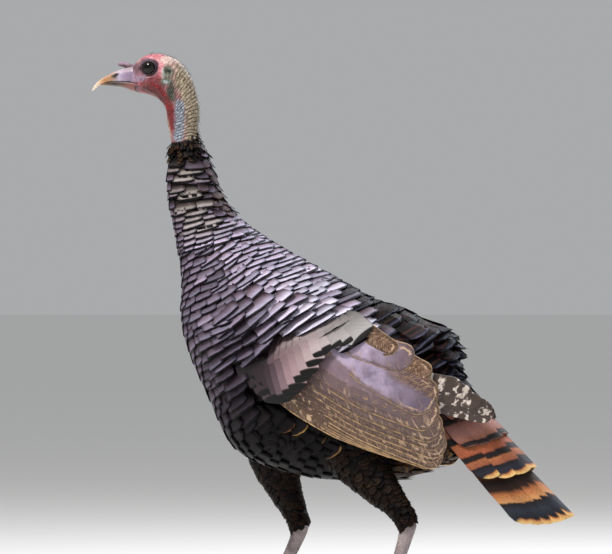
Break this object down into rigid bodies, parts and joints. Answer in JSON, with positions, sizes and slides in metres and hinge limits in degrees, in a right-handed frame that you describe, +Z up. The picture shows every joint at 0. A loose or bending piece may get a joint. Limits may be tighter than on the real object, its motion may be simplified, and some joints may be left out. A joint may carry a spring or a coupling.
{
  "type": "turkey",
  "caption": "Life-size still model of a slim turkey in dark bronze plumage, head up, wings folded, walking on bare grey legs.",
  "frame": {"origin": "on the floor, below the middle of the bird's overall length and width", "axes": "+X towards the tail, -X towards the bill, +Y towards the bird's right side, +Z up"},
  "size_m": [0.6137, 0.1938, 0.7269],
  "materials": {
    "skin": "satin",
    "plumage": "satin",
    "wing": "satin",
    "horn": "satin",
    "eye": "gloss",
    "scale": "satin"
  },
  "bodies": {
    "root": {"head": "skin", "bill_upper": "horn", "bill_lower": "horn", "snood": "skin", "eye_left": "eye", "eye_right": "eye", "neck_upper": "skin", "neck_lower": "plumage", "torso": "plumage", "tail": "plumage", "wing_left": "wing", "thigh_left": "plumage", "shank_left": "scale", "toe_left_middle": "scale", "claw_left_middle": "horn", "toe_left_inner": "scale", "claw_left_inner": "horn", "toe_left_outer": "scale", "claw_left_outer": "horn", "toe_left_hind": "scale", "claw_left_hind": "horn", "wing_right": "wing", "thigh_right": "plumage", "shank_right": "scale", "toe_right_middle": "scale", "claw_right_middle": "horn", "toe_right_inner": "scale", "claw_right_inner": "horn", "toe_right_outer": "scale", "claw_right_outer": "horn", "toe_right_hind": "scale", "claw_right_hind": "horn"}
  },
  "joints": []
}
